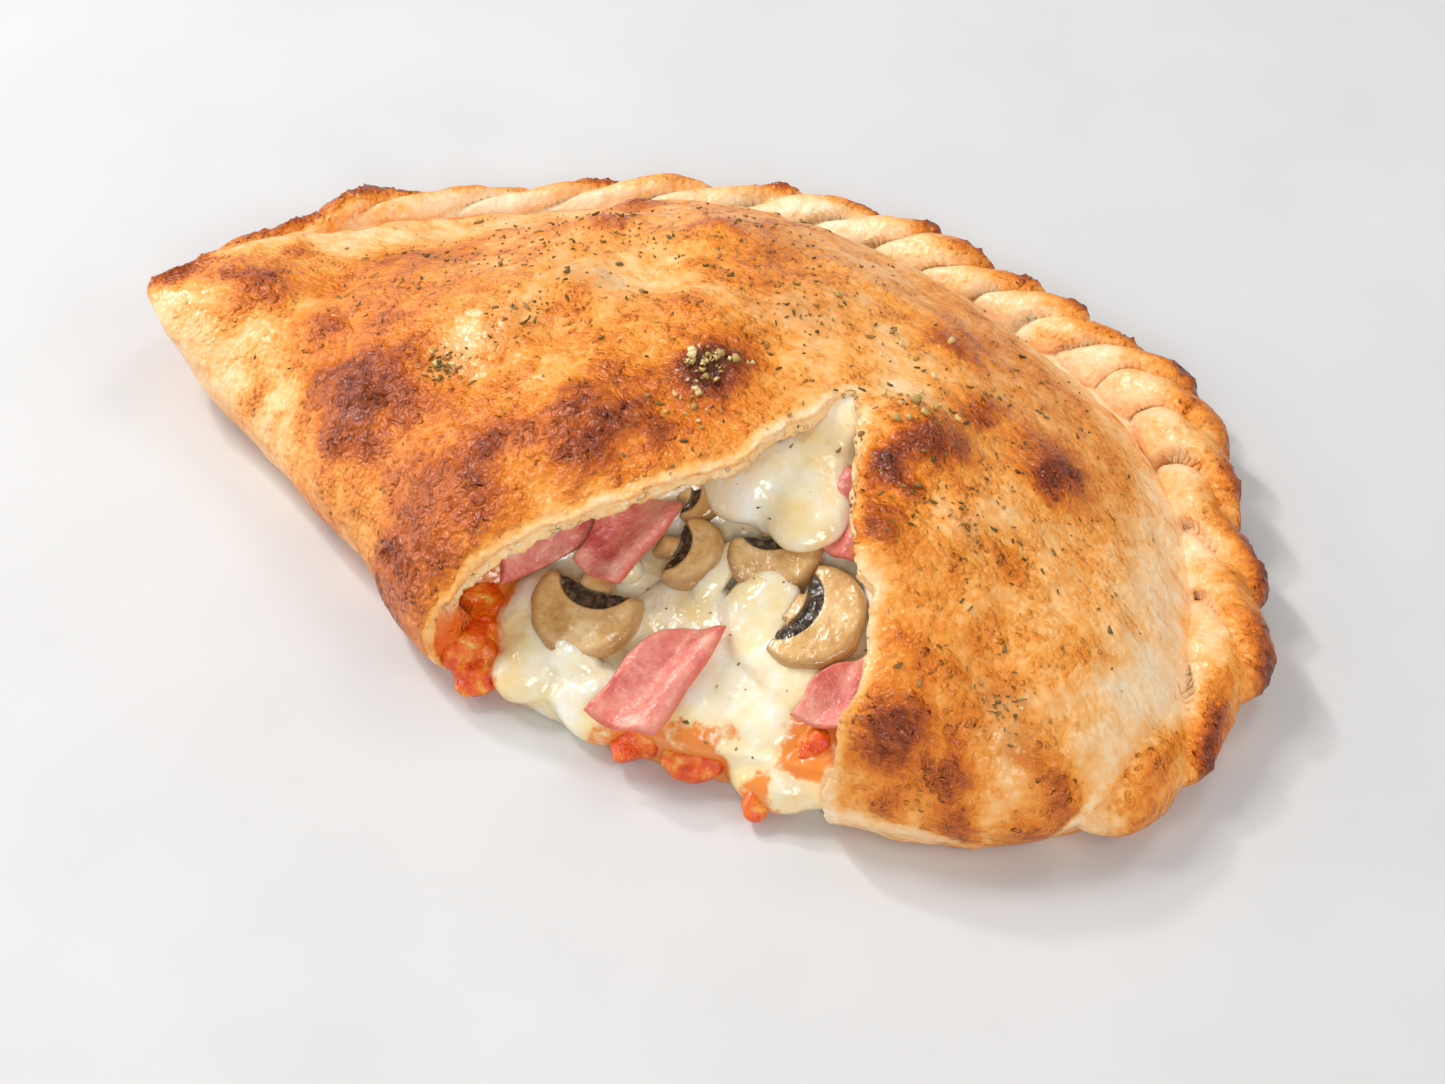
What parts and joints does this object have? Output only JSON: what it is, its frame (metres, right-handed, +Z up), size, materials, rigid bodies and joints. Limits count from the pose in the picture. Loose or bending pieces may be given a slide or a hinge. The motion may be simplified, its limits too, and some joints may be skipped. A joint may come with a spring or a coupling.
{
  "type": "calzone",
  "caption": "Baked calzone folded into a half-moon, with a twisted rope rim, torn open at its fold so that cheese, ham, mushroom and tomato sauce spill out.",
  "frame": {"origin": "on the surface it rests on, under the middle of its bounding box", "axes": "+X along the fold from the pointed end to the broad end, +Y from the fold to the twisted rim, +Z up"},
  "size_m": [0.2924, 0.194, 0.0566],
  "materials": {
    "crust": "oiled, baked dough, browned on its blisters, with flakes of dried herb",
    "cheese": "smooth melted mozzarella with a wet sheen",
    "sauce": "wet, lumpy tomato sauce with orange oil",
    "ham": "moist cooked ham, darker at its rims",
    "mushroom": "damp, cooked button mushroom with dark gills"
  },
  "bodies": {
    "root": {"crust": "crust", "cheese": "cheese", "sauce": "sauce", "ham_top": "ham", "ham_inner": "ham", "ham_front": "ham", "ham_right_upper": "ham", "ham_right_lower": "ham", "mushroom_left": "mushroom", "mushroom_right": "mushroom", "mushroom_upper": "mushroom", "mushroom_back": "mushroom", "mushroom_edge": "mushroom"}
  },
  "joints": []
}
